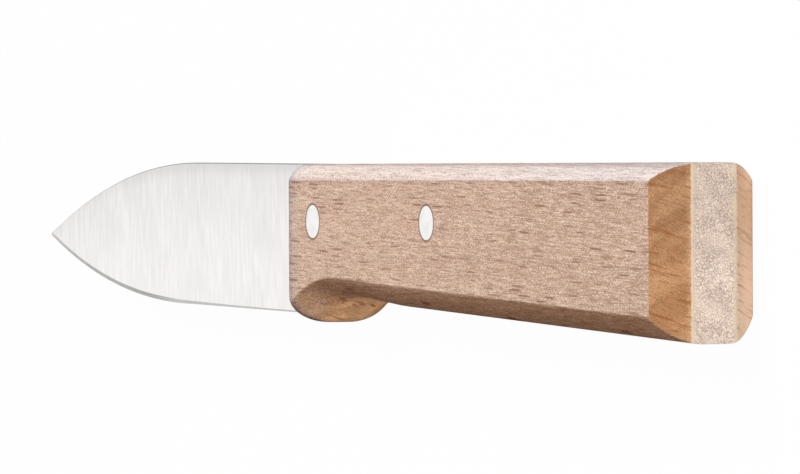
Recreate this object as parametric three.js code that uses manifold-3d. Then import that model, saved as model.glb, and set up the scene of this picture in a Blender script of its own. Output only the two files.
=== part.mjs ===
import * as THREE from 'three';
import { mergeVertices } from 'three/addons/utils/BufferGeometryUtils.js';
import Module from 'manifold-3d';

// Fixed-blade paring knife, in millimetres, lying on its right side.
// The flat-ground blade runs on as a half tang in a saw slot that is open along the handle's back,
// and two plain rivets go through handle and tang.
// Pieces are drawn with x from the handle's front end towards the butt, y up towards the back
// and z across the thickness, with the back of the tang at y = 0 and the middle plane at z = 0.

// Blade
const BLADE_LENGTH = 100; // from the handle to the tip
const HEEL_HEIGHT = 18.9; // back to edge at the handle
const BELLY_HEIGHT = 18.2; // back to edge where the edge starts to curve
const BACK_CROWN = 0.25; // rise of the back where it starts to curve
const TIP_DROP = 9.5; // tip below the line of the back
const BACK_CURVE = 54; // curved part of the back, measured from the tip
const BACK_SHOULDER = 26.6; // where the tangents of that curve meet, measured from the tip
const EDGE_CURVE = 52; // curved part of the edge, measured from the tip
const EDGE_SHOULDER = 23.7; // where the tangents of that curve meet, measured from the tip
const STOCK_THICKNESS = 1.5; // tang, and the back of the blade at the handle
const TIP_THICKNESS = 0.3; // back of the blade, tapered towards the tip
const BEVEL_WIDTH = 0.55; // ground strip along the cutting edge
const BEVEL_THICKNESS = 0.35; // blade thickness above that strip

// Handle
const HANDLE_LENGTH = 107.8;
const HANDLE_THICKNESS = 13;
const GUARD_HEIGHT = 19.7; // back to underside at the front end
const GUARD_NOSE = 1; // level length of the underside at the front end
const WAIST_HEIGHT = 16.35; // back to underside in the finger scoop
const WAIST_PLACE = 14.2; // deepest point of the scoop, measured from the front end
const SCOOP_LENGTH = 30; // front end to the start of the straight underside
const GUARD_TANGENT = 2.6; // how far the scoop's curve leaves the guard level
const WAIST_FRONT_TANGENT = 5.7; // how far it comes level into its deepest point
const WAIST_REAR_TANGENT = 5.3; // how far it leaves that point level
const GRIP_TANGENT = 5.3; // how far it runs in line with the straight underside
const GRIP_HEIGHT = 17.35; // back to underside where the straight underside starts
const BUTT_HEIGHT = 20.3; // back to underside at the butt
const BACK_ROUND_WIDTH = 2.7; // reach of the back's rounded edges in from each side face, at the front end
const BACK_ROUND_DROP = 2.1; // depth of the rounding along the back
const GUARD_ROUND_WIDTH = 5.4; // reach of the underside's rounded edges under the guard
const GUARD_ROUND_DROP = 3.42; // their depth under the guard
const GUARD_BLEND_LENGTH = 4.5; // where the guard's full turn has gone over into the grip's
const WAIST_ROUND_DROP = 2.48; // depth of the underside's rounding in the finger scoop
const GRIP_ROUND_WIDTH = 3.6; // reach of the underside's rounded edges from the scoop on
const GRIP_ROUND_DROP = 2.87; // their depth where the grip begins
const BUTT_ROUND_WIDTH = 5; // reach of all four rounded edges at the butt
const BUTT_ROUND_DROP = 2.92; // depth of the underside's rounding at the butt
const GUARD_SWEEP = THREE.MathUtils.degToRad(90); // turn of a rounded edge under the guard
const GRIP_SWEEP = THREE.MathUtils.degToRad(58); // turn towards the front, which leaves a crease
const BUTT_SWEEP = THREE.MathUtils.degToRad(44); // turn at the butt, which leaves a crease too
const BUTT_CHAMFER_LENGTH = 3.5; // butt chamfers, along the handle
const BUTT_CHAMFER_WIDTH = 3.7; // butt chamfers, across the thickness

// Tang, slot and rivets
const WOOD_UNDER_TANG = 2.15; // wood left below the tang in the finger scoop
const TANG_PAST_RIVET = 13; // steel beyond the rear rivet's centre
const TANG_END_RADIUS = 5; // rounded lower corner of the tang
const TANG_CLEARANCE = 0.15; // between tang and slot, all round
const SHOULDER_CLEARANCE = 0.15; // between the blade's heel and the handle's front end
const RIVET_DIAMETER = 4;
const RIVET_CLEARANCE = 0.15; // round each rivet, in wood and steel
const RIVET_CHAMFER = 0.1; // broken edge of the rivet's ends
const FRONT_RIVET_PLACE = 7.7; // from the handle's front end
const RIVET_PITCH = 34.9;

// Fineness of the curves
const BLADE_STEPS = 28;
const SCOOP_STEPS = 14;
const GRIP_STEPS = 6;
const ROUND_STEPS = 11;
const RIVET_SIDES = 48;

// Worked out from the sizes above
const tangHeight = WAIST_HEIGHT - WOOD_UNDER_TANG;
const rivetDrop = tangHeight / 2;
const rivetPlaces = [FRONT_RIVET_PLACE, FRONT_RIVET_PLACE + RIVET_PITCH];
const tangLength = FRONT_RIVET_PLACE + RIVET_PITCH + TANG_PAST_RIVET;
const heelPlace = -SHOULDER_CLEARANCE;
const sideWood = (HANDLE_THICKNESS - STOCK_THICKNESS) / 2 - TANG_CLEARANCE; // on each side of the slot
const gripSlope = (BUTT_HEIGHT - GRIP_HEIGHT) / (HANDLE_LENGTH - SCOOP_LENGTH); // of the straight underside
const cutMargin = STOCK_THICKNESS; // how far cutting tools run past the wood

const wasm = await Module();
wasm.setup();

function toSolid(geometry) {
  const bare = geometry.clone();
  bare.deleteAttribute('normal');
  bare.deleteAttribute('uv');
  const merged = mergeVertices(bare);
  return new wasm.Manifold(new wasm.Mesh({
    numProp: 3,
    vertProperties: new Float32Array(merged.attributes.position.array),
    triVerts: new Uint32Array(merged.index.array),
  }));
}

function toGeometry(solid) {
  const { vertProperties, triVerts } = solid.getMesh();
  const geometry = new THREE.BufferGeometry();
  geometry.setAttribute('position', new THREE.BufferAttribute(vertProperties, 3));
  geometry.setIndex(new THREE.BufferAttribute(triVerts, 1));
  geometry.computeVertexNormals();
  return geometry;
}

// Closed skin over rings of equal length. The first ring is capped by the given triangles,
// and the last one by the same triangles or, where a tip is given, by a fan to that point.
function skin(rings, cap, tip) {
  const sides = rings[0].length;
  const last = (rings.length - 1) * sides;
  const points = rings.flat();
  const indices = [];
  for (let i = 0; i < sides; i++) {
    const next = (i + 1) % sides;
    for (let start = 0; start < last; start += sides) {
      const [a, b] = [start + i, start + next];
      indices.push(a, b, b + sides, a, b + sides, a + sides);
    }
    if (tip) indices.push(last + i, last + next, points.length);
  }
  for (const [a, b, c] of cap) {
    indices.push(a, c, b);
    if (!tip) indices.push(last + a, last + b, last + c);
  }
  const geometry = new THREE.BufferGeometry().setFromPoints(tip ? [...points, tip] : points);
  geometry.setIndex(indices);
  return geometry;
}

// One long line of the blade: straight from the heel, then curved to the tip.
function bladeLine(heelY, curveY, curveLength, shoulder) {
  const heel = new THREE.Vector2(heelPlace, heelY);
  const start = new THREE.Vector2(curveLength - BLADE_LENGTH, curveY);
  const corner = new THREE.Vector2(shoulder - BLADE_LENGTH, curveY);
  const tip = new THREE.Vector2(-BLADE_LENGTH, -TIP_DROP);
  return [heel, ...new THREE.QuadraticBezierCurve(start, corner, tip).getPoints(BLADE_STEPS)];
}

// Sections from the heel to just short of the tip, each of five corners, closed by the tip as one point.
function bladeGeometry() {
  const back = bladeLine(0, BACK_CROWN, BACK_CURVE, BACK_SHOULDER);
  const edge = bladeLine(-HEEL_HEIGHT, -BELLY_HEIGHT, EDGE_CURVE, EDGE_SHOULDER);
  const tip = back.pop();
  const sections = back.map((top, i) => {
    const halfBack = THREE.MathUtils.lerp(STOCK_THICKNESS, TIP_THICKNESS, -top.x / BLADE_LENGTH) / 2;
    const halfBevel = Math.min(BEVEL_THICKNESS / 2, halfBack);
    const height = top.distanceTo(edge[i]);
    const bevel = edge[i].clone().lerp(top, Math.min(BEVEL_WIDTH, height / 2) / height);
    return [
      new THREE.Vector3(top.x, top.y, halfBack),
      new THREE.Vector3(top.x, top.y, -halfBack),
      new THREE.Vector3(bevel.x, bevel.y, -halfBevel),
      new THREE.Vector3(edge[i].x, edge[i].y, 0),
      new THREE.Vector3(bevel.x, bevel.y, halfBevel),
    ];
  });
  const heelFace = sections[0].map(({ z, y }) => new THREE.Vector2(z, y));
  return skin(sections, THREE.ShapeUtils.triangulateShape(heelFace, []), new THREE.Vector3(tip.x, tip.y, 0));
}

// Flat plate in the middle plane with the tang's outline, grown by a clearance on every side.
function tangPlate(front, top, clearance) {
  const end = tangLength + clearance;
  const bottom = -tangHeight - clearance;
  const radius = TANG_END_RADIUS + clearance;
  const outline = new THREE.Shape();
  outline.moveTo(front, top);
  outline.lineTo(front, bottom);
  outline.lineTo(end - radius, bottom);
  outline.absarc(end - radius, bottom + radius, radius, -Math.PI / 2, 0, false);
  outline.lineTo(end, top);
  const depth = STOCK_THICKNESS + 2 * clearance;
  const plate = new THREE.ExtrudeGeometry(outline, { depth, bevelEnabled: false });
  return plate.translate(0, 0, -depth / 2);
}

// Round bar across the thickness at one rivet's place, with its ends broken by a chamfer.
function rivetBar(place, diameter, length, chamfer) {
  const [radius, half] = [diameter / 2, length / 2];
  const profile = [
    new THREE.Vector2(0, -half),
    new THREE.Vector2(radius - chamfer, -half),
    new THREE.Vector2(radius, chamfer - half),
    new THREE.Vector2(radius, half - chamfer),
    new THREE.Vector2(radius - chamfer, half),
    new THREE.Vector2(0, half),
  ];
  const bar = new THREE.LatheGeometry(profile, RIVET_SIDES);
  return bar.rotateX(Math.PI / 2).translate(place, -rivetDrop, 0);
}

function rivetHole(place) {
  const diameter = RIVET_DIAMETER + 2 * RIVET_CLEARANCE;
  return toSolid(rivetBar(place, diameter, HANDLE_THICKNESS + 2 * cutMargin, RIVET_CHAMFER));
}

function blade() {
  let solid = toSolid(bladeGeometry()).add(toSolid(tangPlate(heelPlace, 0, 0)));
  for (const place of rivetPlaces) solid = solid.subtract(rivetHole(place));
  return toGeometry(solid);
}

// Middle-plane line of the underside, from the guard through the finger scoop to the straight grip.
function scoopLine() {
  const at = (x, height) => new THREE.Vector2(x, -height);
  const toWaist = new THREE.CubicBezierCurve(
    at(GUARD_NOSE, GUARD_HEIGHT),
    at(GUARD_NOSE + GUARD_TANGENT, GUARD_HEIGHT),
    at(WAIST_PLACE - WAIST_FRONT_TANGENT, WAIST_HEIGHT),
    at(WAIST_PLACE, WAIST_HEIGHT),
  );
  const toGrip = new THREE.CubicBezierCurve(
    at(WAIST_PLACE, WAIST_HEIGHT),
    at(WAIST_PLACE + WAIST_REAR_TANGENT, WAIST_HEIGHT),
    at(SCOOP_LENGTH - GRIP_TANGENT, GRIP_HEIGHT - gripSlope * GRIP_TANGENT),
    at(SCOOP_LENGTH, GRIP_HEIGHT),
  );
  return [
    at(0, GUARD_HEIGHT),
    ...toWaist.getPoints(SCOOP_STEPS),
    ...toGrip.getPoints(SCOOP_STEPS).slice(1),
  ];
}

// How deep an edge is rounded off at one distance in from the side face, by an arc of the given sweep.
// The arc stays on the wood beside the slot.
function roundingDepth(inFromSide, width, drop, sweep) {
  const share = THREE.MathUtils.clamp(1 - inFromSide / Math.min(width, sideWood), 0, 1);
  const sine = share * Math.sin(sweep);
  return drop * (1 - Math.sqrt(Math.max(0, 1 - sine * sine))) / (1 - Math.cos(sweep));
}

// The back's rounding widens and flattens evenly from the front end to the butt.
function backDepth(x, inFromSide) {
  const along = x / HANDLE_LENGTH;
  const width = THREE.MathUtils.lerp(BACK_ROUND_WIDTH, BUTT_ROUND_WIDTH, along);
  const sweep = THREE.MathUtils.lerp(GRIP_SWEEP, BUTT_SWEEP, along);
  return roundingDepth(inFromSide, width, BACK_ROUND_DROP, sweep);
}

// The underside's rounding is fullest under the guard and least in the scoop, and widens along the grip.
function undersideDepth(x, inFromSide) {
  const { lerp, smoothstep } = THREE.MathUtils;
  const pastGuard = smoothstep(x, 0, GUARD_BLEND_LENGTH);
  const toWaist = smoothstep(x, GUARD_NOSE + GUARD_TANGENT, WAIST_PLACE);
  const toGrip = smoothstep(x, WAIST_PLACE, SCOOP_LENGTH);
  const along = Math.max(0, (x - GUARD_BLEND_LENGTH) / (HANDLE_LENGTH - GUARD_BLEND_LENGTH));
  const frontWidth = lerp(GUARD_ROUND_WIDTH, GRIP_ROUND_WIDTH, toWaist);
  const frontDrop = lerp(GUARD_ROUND_DROP, WAIST_ROUND_DROP, toWaist);
  const width = lerp(frontWidth, lerp(GRIP_ROUND_WIDTH, BUTT_ROUND_WIDTH, along), toGrip);
  const drop = lerp(frontDrop, lerp(GRIP_ROUND_DROP, BUTT_ROUND_DROP, along), toGrip);
  const sweep = lerp(GUARD_SWEEP, lerp(GRIP_SWEEP, BUTT_SWEEP, along), pastGuard);
  return roundingDepth(inFromSide, width, drop, sweep);
}

// Outline of the handle at one level of its thickness: rounded edges and butt chamfer pull it in.
function handleRing(z, scoop) {
  const inFromSide = HANDLE_THICKNESS / 2 - Math.abs(z);
  const chamfer = THREE.MathUtils.clamp(1 - inFromSide / BUTT_CHAMFER_WIDTH, 0, 1);
  const buttPlace = HANDLE_LENGTH - BUTT_CHAMFER_LENGTH * chamfer;
  const shares = Array.from({ length: GRIP_STEPS + 1 }, (_, step) => step / GRIP_STEPS);
  const gripPlaces = shares.slice(1).map((share) => THREE.MathUtils.lerp(SCOOP_LENGTH, buttPlace, share));
  const backPlaces = shares.map((share) => buttPlace * (1 - share));
  const underside = [
    ...scoop,
    ...gripPlaces.map((x) => new THREE.Vector2(x, -GRIP_HEIGHT - gripSlope * (x - SCOOP_LENGTH))),
  ];
  return [
    ...underside.map(({ x, y }) => new THREE.Vector3(x, y + undersideDepth(x, inFromSide), z)),
    ...backPlaces.map((x) => new THREE.Vector3(x, -backDepth(x, inFromSide), z)),
  ];
}

function handleLevels() {
  const half = HANDLE_THICKNESS / 2;
  const widest = Math.max(BACK_ROUND_WIDTH, GUARD_ROUND_WIDTH, GRIP_ROUND_WIDTH, BUTT_ROUND_WIDTH);
  const levels = [half - BUTT_CHAMFER_WIDTH];
  for (let step = 0; step <= ROUND_STEPS; step++) {
    const inward = 1 - Math.sin(Math.PI / 2 * step / ROUND_STEPS);
    levels.push(half - Math.min(widest, sideWood) * inward);
  }
  const near = [...new Set(levels)].sort((a, b) => a - b);
  return [...near.map((z) => -z).reverse(), ...near];
}

function handle() {
  const scoop = scoopLine();
  const rings = handleLevels().map((z) => handleRing(z, scoop));
  const face = rings.at(-1).map(({ x, y }) => new THREE.Vector2(x, y));
  const block = skin(rings, THREE.ShapeUtils.triangulateShape(face, []));
  const slot = tangPlate(-cutMargin, cutMargin, TANG_CLEARANCE);
  let solid = toSolid(block).subtract(toSolid(slot));
  for (const place of rivetPlaces) solid = solid.subtract(rivetHole(place));
  return toGeometry(solid);
}

function rivet(place) {
  return rivetBar(place, RIVET_DIAMETER, HANDLE_THICKNESS, RIVET_CHAMFER);
}

const satinSteel = new THREE.MeshStandardMaterial({ color: 0xdcdcda, roughness: 0.35, metalness: 1 });
const beech = new THREE.MeshStandardMaterial({ color: 0xcdab92, roughness: 0.6, metalness: 0 });
const aluminium = new THREE.MeshStandardMaterial({ color: 0xe9e9e7, roughness: 0.3, metalness: 1 });

function piece(name, geometry, material) {
  const mesh = new THREE.Mesh(geometry, material);
  mesh.name = name;
  return mesh;
}

const knife = new THREE.Group();
knife.add(
  piece('blade', blade(), satinSteel),
  piece('handle', handle(), beech),
  piece('front_rivet', rivet(rivetPlaces[0]), aluminium),
  piece('rear_rivet', rivet(rivetPlaces[1]), aluminium),
);

// Stand the knife's box on z = 0, centred on the origin.
const box = new THREE.Box3().setFromObject(knife);
const centre = box.getCenter(new THREE.Vector3());
knife.position.set(-centre.x, -centre.y, -box.min.z);

const assembly = new THREE.Group();
assembly.add(knife);

export default assembly;
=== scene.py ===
import math
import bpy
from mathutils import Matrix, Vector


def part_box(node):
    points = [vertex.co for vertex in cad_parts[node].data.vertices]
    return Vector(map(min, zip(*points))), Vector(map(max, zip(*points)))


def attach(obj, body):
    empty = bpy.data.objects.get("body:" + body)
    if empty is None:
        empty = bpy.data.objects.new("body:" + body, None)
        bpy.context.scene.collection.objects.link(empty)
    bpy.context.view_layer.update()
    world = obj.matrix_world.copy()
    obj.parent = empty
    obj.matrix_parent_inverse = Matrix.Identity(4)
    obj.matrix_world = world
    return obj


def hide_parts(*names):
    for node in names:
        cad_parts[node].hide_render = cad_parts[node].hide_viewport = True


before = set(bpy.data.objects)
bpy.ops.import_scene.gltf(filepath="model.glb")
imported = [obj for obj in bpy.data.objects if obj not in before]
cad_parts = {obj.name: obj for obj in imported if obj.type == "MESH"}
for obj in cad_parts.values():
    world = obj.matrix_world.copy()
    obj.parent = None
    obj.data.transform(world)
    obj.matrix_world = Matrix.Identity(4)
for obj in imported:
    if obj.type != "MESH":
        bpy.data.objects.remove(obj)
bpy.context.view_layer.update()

from types import SimpleNamespace

import bmesh
import bpy
from bpy.props import FloatProperty, FloatVectorProperty, IntProperty, PointerProperty
from mathutils import Matrix, Vector
from mathutils.geometry import interpolate_bezier

bl_info = {
    "name": "Paring Knife",
    "version": (1, 0, 0),
    "blender": (4, 5, 0),
    "location": "View3D > Sidebar > Knife",
    "description": "Makes a paring knife with a riveted beech handle, and a pale studio round it",
    "category": "Add Mesh",
}

MM = 0.001
HANDLE_LOW, HANDLE_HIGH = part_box("handle")
BLADE_LOW, BLADE_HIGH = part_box("blade")
RIVET_BOXES = [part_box("front_rivet"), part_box("rear_rivet")]
RIVET_CENTRES = [(low + high) / 2 for low, high in RIVET_BOXES]

# Pieces are drawn from the handle's front end (x), its back (y) and the knife's middle plane (z).
DATUM = Vector((HANDLE_LOW.x, HANDLE_HIGH.y, (HANDLE_LOW.z + HANDLE_HIGH.z) / 2))

# Fineness of the meshes
SCOOP_STEPS = 40
GRIP_STEPS = 40
ROUND_STEPS = 30
CORNER_STEPS = 6
CHAMFER_STEPS = 4
BLADE_CURVE_STEPS = 80
BLADE_FLAT_STEPS = 12
BACK_EDGE_STEPS = 4
BACK_BAND = (0.03, 0.06, 0.09, 0.12, 0.16)  # rows just below the blade's back, as shares of the tang
HOLE_SIDES = 96
SHARP_ANGLE = math.radians(30)
BEVEL_ANGLE = math.radians(8)  # on the blade, where the ground strip meets the side
MERGE_DISTANCE = 1e-4 * MM

# How far a face has turned where it starts to count as one kind of wood, and where it counts in full
END_GRAIN_TURN = (0.05, 0.3)
UNDERSIDE_TURN = (0.1, 0.6)
BACK_TURN = (0.1, 0.5)
SIDEWAYS_WEIGHT = 0.3  # how much a sideways turn takes off the turn to end grain

# Finish of the blade
STEEP = 0.15  # tilt that only the ground strip and the back have
BEVEL_EASE = 3  # how late the ground strip narrows towards the heel
BACK_SHADE = 2.2 * MM  # reach of the greyer line below the back, a painted reflection
SIDE_SHADE = 14 * MM  # reach of the fainter grey below it, also painted reflection
SIDE_SHADE_SHARE = 0.35


def linear(*display):
    """A colour written in the 0 to 255 steps of a display, as the linear values that shaders use."""
    shares = [value / 255 for value in display]
    return [c / 12.92 if c <= 0.04045 else ((c + 0.055) / 1.055) ** 2.4 for c in shares]


def length(name, description, metres):
    return FloatProperty(name=name, description=description, default=metres, unit="LENGTH", precision=5)


def angle(name, description, degrees):
    return FloatProperty(name=name, description=description, default=math.radians(degrees), subtype="ANGLE")


def colour(name, description, *display):
    return FloatVectorProperty(
        name=name, description=description, default=linear(*display), subtype="COLOR", size=3, min=0, max=1)


class HandleSettings(bpy.types.PropertyGroup):
    """Sizes and colours of the beech handle."""

    length: length("Length", "Front end to butt", HANDLE_HIGH.x - HANDLE_LOW.x)
    thickness: length("Thickness", "Across both side faces", HANDLE_HIGH.z - HANDLE_LOW.z)
    butt_height: length("Butt height", "Back to underside at the butt", HANDLE_HIGH.y - HANDLE_LOW.y)
    guard_height: length("Guard height", "Back to underside at the front end", 19.7 * MM)
    guard_nose: length("Guard nose", "Level length of the underside at the front end", 1 * MM)
    waist_height: length("Waist height", "Back to underside in the finger scoop", 16.35 * MM)
    waist_place: length("Waist place", "Deepest point of the scoop from the front end", 14.2 * MM)
    scoop_length: length("Scoop length", "Front end to the start of the straight underside", 30 * MM)
    guard_tangent: length("Guard tangent", "How far the scoop leaves the guard level", 2.6 * MM)
    waist_front_tangent: length("Waist front tangent", "How far it comes level to its depth", 5.7 * MM)
    waist_rear_tangent: length("Waist rear tangent", "How far it leaves its depth level", 5.3 * MM)
    grip_tangent: length("Grip tangent", "How far it runs in line with the straight underside", 5.3 * MM)
    grip_height: length("Grip height", "Back to underside where that turns straight", 17.35 * MM)
    back_width: length("Back rounding width", "Reach in from a side face at the front end", 2.7 * MM)
    back_drop: length("Back rounding depth", "Depth of the rounding along the back", 2.0 * MM)
    guard_width: length("Guard rounding width", "Reach in from a side face under the guard", 5.4 * MM)
    guard_drop: length("Guard rounding depth", "Depth of the rounding under the guard", 3.3 * MM)
    guard_blend: length("Guard blend", "Where the guard's full turn has gone over into the grip's", 4.5 * MM)
    waist_drop: length("Waist rounding depth", "Depth of the rounding in the finger scoop", 2.36 * MM)
    grip_width: length("Grip rounding width", "Reach in from a side face along the scoop", 3.6 * MM)
    grip_drop: length("Grip rounding depth", "Depth of the rounding where the grip is straight", 2.75 * MM)
    butt_width: length("Butt rounding width", "Reach in from a side face at the butt", 5.0 * MM)
    butt_drop: length("Butt rounding depth", "Depth of the underside's rounding at the butt", 2.8 * MM)
    guard_sweep: angle("Guard sweep", "Turn of the rounding under the guard", 90)
    grip_sweep: angle("Grip sweep", "Turn of a rounded edge towards the front, which leaves a crease", 58)
    butt_sweep: angle("Butt sweep", "Turn of a rounded edge at the butt, which leaves a crease", 44)
    chamfer_length: length("Butt chamfer length", "Butt chamfers along the handle", 3.5 * MM)
    chamfer_width: length("Butt chamfer width", "Butt chamfers across the thickness", 3.7 * MM)
    crease_radius: length("Crease radius", "Sanded crease between side faces and rounded edges", 0.12 * MM)
    soft_crease: length("Soft crease", "Radius of the same crease at the butt", 0.25 * MM)
    soft_length: length("Soft length", "How far from the butt the crease starts to soften", 12 * MM)
    front_radius: length("Front radius", "Sanded edges of the front end", 0.15 * MM)
    butt_radius: length("Butt radius", "Sanded edges of the butt", 0.25 * MM)
    wood_pale: colour("Pale wood", "Lighter bands of the beech", 207, 165, 134)
    wood_warm: colour("Warm wood", "Darker bands of the beech", 198, 153, 123)
    # Painted sheen: faces of the rounded back are painted paler, as light from above makes them look
    back_sheen: colour("Wood of the back", "Paler tone of the rounded back", 233, 229, 230)
    back_sheen_butt: colour("Wood of the back, butt", "The same towards the butt", 236, 239, 251)
    # Painted shade at the front end: a cooler, darker band, and a grey line along the edge itself
    front_shade_tint: colour("Tint of the front", "Cooler tone next to the front end, as a tint", 243, 248, 255)
    front_edge_shade_tint: colour("Tint of the front edge", "Worn grey line at the front end, as a tint", 206, 213, 226)
    # Painted shade: a darker line below the crease of the rounded back
    crease_shade_tint: colour("Tint of the crease", "Darker line below the back's crease, as a tint", 235, 234, 231)
    # Painted shade: the underside in the finger scoop is tinted darker
    scoop_shade_tint: colour("Tint of the scoop", "Handled wood in the finger scoop, as a tint", 240, 237, 232)
    # Painted shade: the guard's faces that turn down are tinted darker and warmer
    guard_underside_shade_tint: colour("Tint of the guard", "Its sides below the crease, as a tint", 246, 223, 196)
    # Painted shade: the guard's rounded left side is tinted greyer
    guard_left_shade_tint: colour("Tint of the guard, left", "Its rounded left side, as a tint", 226, 220, 207)
    # Painted shade: faces that turn down are tinted darker
    underside_shade_tint: colour("Tint of the underside", "Deeper tone of the underside, as a tint", 210, 188, 170)
    pore_brown: colour("Brown pores", "Darker specks along the grain", 150, 100, 67)
    pore_cream: colour("Cream pores", "Lighter specks along the grain", 240, 214, 192)
    fleck: colour("Fleck", "Ray flecks along the grain", 132, 72, 26)
    # Painted shade: the inside of the slot and the holes is painted dark
    shaded_cut_wood: colour("Cut wood", "Inside of the slot and the holes", 84, 60, 46)
    guard_wood: colour("Guard wood", "Slanting grain of the guard", 218, 165, 118)
    end_grain: colour("End grain", "Oiled end grain of the butt chamfers", 170, 126, 87)
    end_grain_dark: colour("End grain, dark", "Darker patches of the end grain", 148, 103, 65)
    # Painted light: end grain on the right side is painted paler, as if lit from that side
    end_grain_lit: colour("End grain, pale", "End grain towards the right side", 228, 189, 156)
    end_grain_lit_low: colour("End grain, cream", "The same towards the underside", 225, 194, 169)
    sanded: colour("Sanded butt", "Bare end grain of the butt", 203, 183, 168)
    sanded_light: colour("Sanded butt, light", "Torn fibres that catch the light", 248, 233, 219)
    sanded_dark: colour("Sanded butt, dark", "Open pores in the bare end grain", 171, 146, 131)
    sanded_edge: colour("Sanded butt, edge", "Bare end grain next to a chamfer", 209, 186, 160)


class BladeSettings(bpy.types.PropertyGroup):
    """Sizes and colours of the blade and its tang."""

    length: length("Length", "Handle to tip", HANDLE_LOW.x - BLADE_LOW.x)
    heel_height: length("Heel height", "Back to edge at the handle", 18.9 * MM)
    belly_height: length("Belly height", "Back to edge where the edge starts to curve", 18.2 * MM)
    back_crown: length("Back crown", "Rise of the back before it curves", BLADE_HIGH.y - HANDLE_HIGH.y)
    tip_drop: length("Tip drop", "Tip below the line of the back", 9.5 * MM)
    back_curve: length("Back curve", "Curved part of the back, from the tip", 54 * MM)
    back_shoulder: length("Back shoulder", "Where that curve's tangents meet, from the tip", 26.6 * MM)
    edge_curve: length("Edge curve", "Curved part of the edge, from the tip", 52 * MM)
    edge_shoulder: length("Edge shoulder", "Where that curve's tangents meet, from the tip", 23.7 * MM)
    stock: length("Stock", "Thickness of the tang and of the back at the handle", BLADE_HIGH.z - BLADE_LOW.z)
    tip_thickness: length("Tip thickness", "Thickness of the back at the tip", 0.3 * MM)
    bevel_width: length("Bevel width", "Ground strip along the cutting edge, at the belly", 0.58 * MM)
    bevel_place: length("Bevel place", "Where that strip is widest, from the tip", 42 * MM)
    bevel_heel: length("Bevel width, heel", "The same strip at the heel", 0.2 * MM)
    bevel_tip: length("Bevel width, tip", "The same strip at the tip", 0.6 * MM)
    bevel_angle: angle("Bevel angle", "Between that strip and the middle plane", 19)
    back_radius: length("Back radius", "Broken corners of the back", 0.12 * MM)
    heel_gap: length("Heel gap", "Between the heel and the handle", 0.15 * MM)
    tang_height: length("Tang height", "Back to lower edge of the tang", 14.2 * MM)
    tang_length: length("Tang length", "Handle's front end to the tang's end", BLADE_HIGH.x - HANDLE_LOW.x)
    tang_radius: length("Tang radius", "Rounded lower corner of the tang", 5 * MM)
    plunge: length("Plunge", "Run of the grind out into the flat tang", 3 * MM)
    tang_gap: length("Tang gap", "Between the tang and its slot", 0.15 * MM)
    steel: colour("Steel", "Satin sides", 249, 246, 245)
    # Painted reflection: the blade below its back is painted greyer, as if it reflected a darker surround
    steel_reflection_grey: colour("Grey steel", "Towards the back", 221, 220, 218)
    # Darker ground strip: partly its coarser grind, partly painted reflection of a darker surround
    ground_steel_and_reflection: colour("Ground steel", "Strip along the cutting edge", 206, 205, 202)
    steel_honed: colour("Honed steel", "The same strip from the belly to the heel", 251, 250, 248)
    steel_back: colour("Blanked steel", "Back, heel and tang", 150, 150, 149)


class RivetSettings(bpy.types.PropertyGroup):
    """Sizes and colours of the two rivets."""

    count: IntProperty(name="Count", description="Rivets in the row", default=len(RIVET_BOXES), min=1)
    diameter: length("Diameter", "Shank", RIVET_BOXES[0][1].x - RIVET_BOXES[0][0].x)
    spread: length("Spread", "How far the hammered ends swell into the gap round them", 0.06 * MM)
    spread_depth: length("Spread depth", "How deep the ends are swollen", 0.4 * MM)
    length: length("Length", "Flush with both side faces", RIVET_BOXES[0][1].z - RIVET_BOXES[0][0].z)
    pitch: length("Pitch", "Between neighbouring rivets", RIVET_CENTRES[1].x - RIVET_CENTRES[0].x)
    chamfer: length("Chamfer", "Broken edge of the ends", 0.015 * MM)
    gap: length("Gap", "Round each rivet, in wood and steel", 0.1 * MM)
    aluminium: colour("Aluminium", "Faced ends", 250, 249, 248)
    aluminium_dull: colour("Dull aluminium", "Cloudier places on the ends", 242, 241, 236)
    # Darker rim and shank of each rivet
    rim: colour("Rim", "Dull rim and shank", 122, 106, 94)


class StageSettings(bpy.types.PropertyGroup):
    """Camera, light and floor."""

    focal_length: FloatProperty(name="Focal length", description="Lens", default=336.8, unit="CAMERA")
    distance: length("Distance", "Camera to the point it looks at", 875.5 * MM)
    height: angle("Height", "Camera above the floor, seen from the butt", 23.466)
    side: angle("Side", "Camera towards the knife's back", 0.558)
    roll: angle("Roll", "Camera turned about its own axis", -0.254)
    aim: FloatVectorProperty(
        name="Aim", description="Point looked at, from the handle's front, back and middle plane",
        default=(55.92 * MM, -8.59 * MM, 15.67 * MM), subtype="XYZ_LENGTH", size=3)
    floor_size: length("Floor size", "Side of the square floor", 40)
    floor: colour("Floor", "Pale floor", 236, 236, 235)
    surround: FloatProperty(name="Surround", description="Light from all round", default=0.12, min=0)
    room: FloatProperty(name="Room", description="Grey of the room in gloss", default=0.78, min=0, max=1)
    key: FloatProperty(name="Key light", description="Soft light over the back", default=7.0, unit="POWER")
    fill: FloatProperty(name="Fill light", description="Soft light at the butt", default=5.8, unit="POWER")


class KnifeSettings(bpy.types.PropertyGroup):
    """Everything that can be set on the knife and its stage."""

    handle: PointerProperty(type=HandleSettings)
    blade: PointerProperty(type=BladeSettings)
    rivets: PointerProperty(type=RivetSettings)
    stage: PointerProperty(type=StageSettings)


# Meshes

def clamp(value):
    return min(max(value, 0.0), 1.0)


def blend(a, b, share):
    return a + (b - a) * share


def smoothstep(value, low, high):
    share = clamp((value - low) / (high - low))
    return share * share * (3 - 2 * share)


def new_piece(name, mesh):
    piece = bpy.data.objects.new(name, mesh)
    bpy.context.scene.collection.objects.link(piece)
    return piece


def mesh_from(shell, name):
    """A mesh out of a finished bmesh, with its faces pointing outwards."""
    bmesh.ops.recalc_face_normals(shell, faces=shell.faces)
    mesh = bpy.data.meshes.new(name)
    shell.to_mesh(mesh)
    shell.free()
    return mesh


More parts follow.
